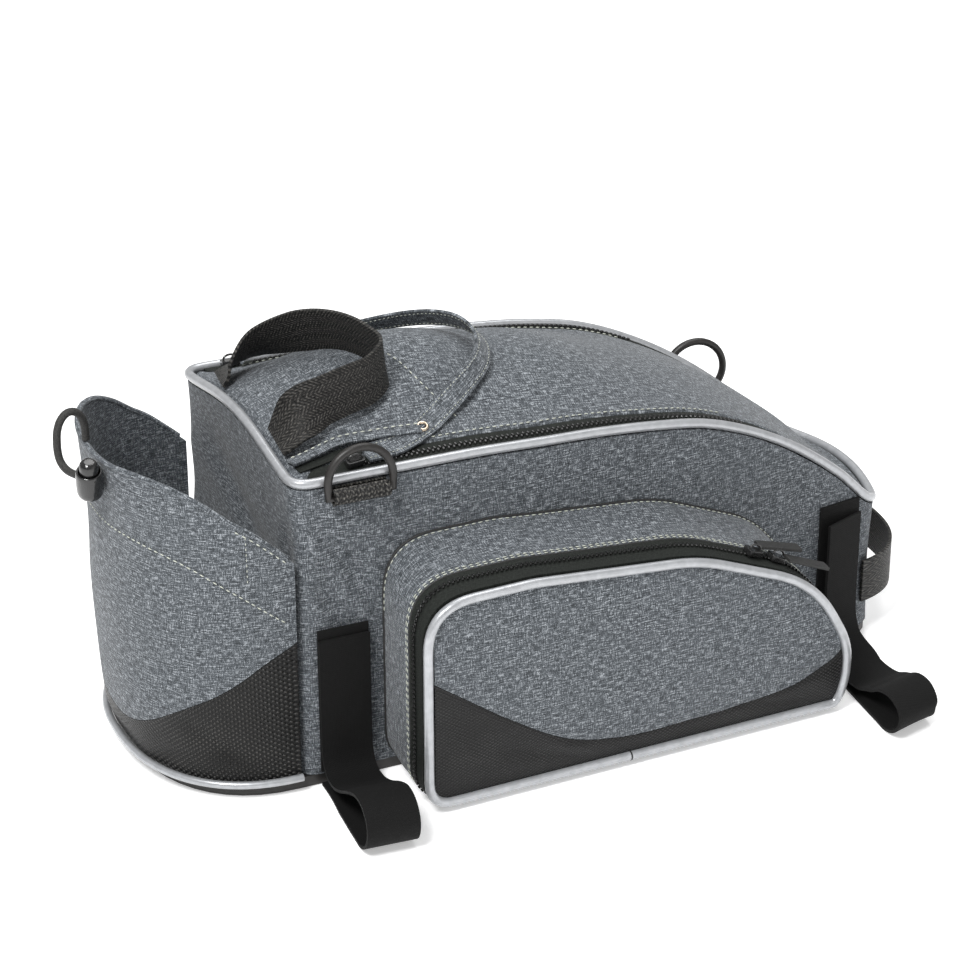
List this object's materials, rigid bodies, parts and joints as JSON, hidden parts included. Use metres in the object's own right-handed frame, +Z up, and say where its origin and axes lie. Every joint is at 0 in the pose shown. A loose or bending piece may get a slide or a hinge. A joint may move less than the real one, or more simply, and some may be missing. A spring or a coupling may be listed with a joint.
{
  "type": "bicycle trunk bag",
  "caption": "Wedge-shaped soft bag for a bicycle's rear rack, with crowned zip lid, zipped side pockets, bottle pocket, carry handle and hook-and-loop straps",
  "frame": {"origin": "on the ground, under the middle of the bag's box measured without the elastic cord and its lock", "axes": "+X towards the low front end, -X towards the bottle pocket, -Y the near long side, +Z up"},
  "size_m": [0.4735, 0.3384, 0.2233],
  "materials": {
    "melange_fabric": "grey melange woven polyester over foam padding",
    "reflective_piping": "silver reflective coated piping with a satin sheen",
    "black_webbing": "black woven polyester webbing",
    "black_base_fabric": "black coated polyester over a stiff board",
    "zip_tape": "black knitted zip tape with coil teeth",
    "black_zinc_slider": "black lacquered die-cast zip slider",
    "nickel_rivet": "plated brass ring rivet",
    "black_mesh": "black textured mesh fabric",
    "black_nylon": "glossy black moulded nylon",
    "elastic_cord_braid": "black braided elastic cord",
    "black_ripstop": "black ripstop polyester with a slight sheen",
    "black_acetal": "dark matt moulded plastic",
    "hook_and_loop": "black hook-and-loop tape"
  },
  "bodies": {
    "bag": {"base_panel": "black_base_fabric", "body_shell": "melange_fabric", "bottle_pocket_foot": "black_mesh", "bottle_pocket_piping": "reflective_piping", "bottle_pocket_sleeve": "melange_fabric", "carry_handle": "black_webbing", "cord_lock_barrel": "black_nylon", "d_ring_tab_far": "black_webbing", "d_ring_tab_near": "black_webbing", "elastic_cord": "elastic_cord_braid", "front_band": "black_webbing", "lid_panel": "melange_fabric", "lid_piping": "reflective_piping", "lid_slider_far": "black_zinc_slider", "lid_slider_near": "black_zinc_slider", "lid_zip_far": "zip_tape", "lid_zip_near": "zip_tape", "opening_band": "melange_fabric", "opening_band_rivet": "nickel_rivet", "side_pocket_gusset_far": "melange_fabric", "side_pocket_gusset_near": "melange_fabric", "side_pocket_panel_lower_far": "black_ripstop", "side_pocket_panel_lower_near": "black_ripstop", "side_pocket_panel_upper_far": "melange_fabric", "side_pocket_panel_upper_near": "melange_fabric", "side_pocket_piping_far": "reflective_piping", "side_pocket_piping_near": "reflective_piping", "side_pocket_pull_front_far": "black_webbing", "side_pocket_pull_front_near": "black_webbing", "side_pocket_pull_rear_far": "black_webbing", "side_pocket_pull_rear_near": "black_webbing", "side_pocket_slider_front_far": "black_zinc_slider", "side_pocket_slider_front_near": "black_zinc_slider", "side_pocket_slider_rear_far": "black_zinc_slider", "side_pocket_slider_rear_near": "black_zinc_slider", "side_pocket_zip_far": "zip_tape", "side_pocket_zip_near": "zip_tape", "strap_front_far": "hook_and_loop", "strap_front_near": "hook_and_loop", "strap_patch_front_far": "hook_and_loop", "strap_patch_front_near": "hook_and_loop", "strap_patch_rear_far": "hook_and_loop", "strap_patch_rear_near": "hook_and_loop", "strap_rear_far": "hook_and_loop", "strap_rear_near": "hook_and_loop"},
    "d_ring_near_body": {"d_ring_near": "black_acetal"},
    "d_ring_far_body": {"d_ring_far": "black_acetal"},
    "cord_lock_button_body": {"cord_lock_button": "black_nylon"}
  },
  "joints": [
    {"name": "d_ring_near_hinge", "type": "hinge", "parent": "bag", "child": "d_ring_near_body", "pos_m": [-0.11831, -0.0842, 0.1602], "axis": [1, 0, 0], "range_deg": [0, 150]},
    {"name": "d_ring_far_hinge", "type": "hinge", "parent": "bag", "child": "d_ring_far_body", "pos_m": [0.14722, 0.07049, 0.11172], "axis": [-0.7984, 0.1145, 0.5911], "range_deg": [0, 150]},
    {"name": "cord_lock_press", "type": "slide", "parent": "bag", "child": "cord_lock_button_body", "axis": [0.1005, 0.3416, -0.9344], "range_m": [0, 0.0038]}
  ]
}
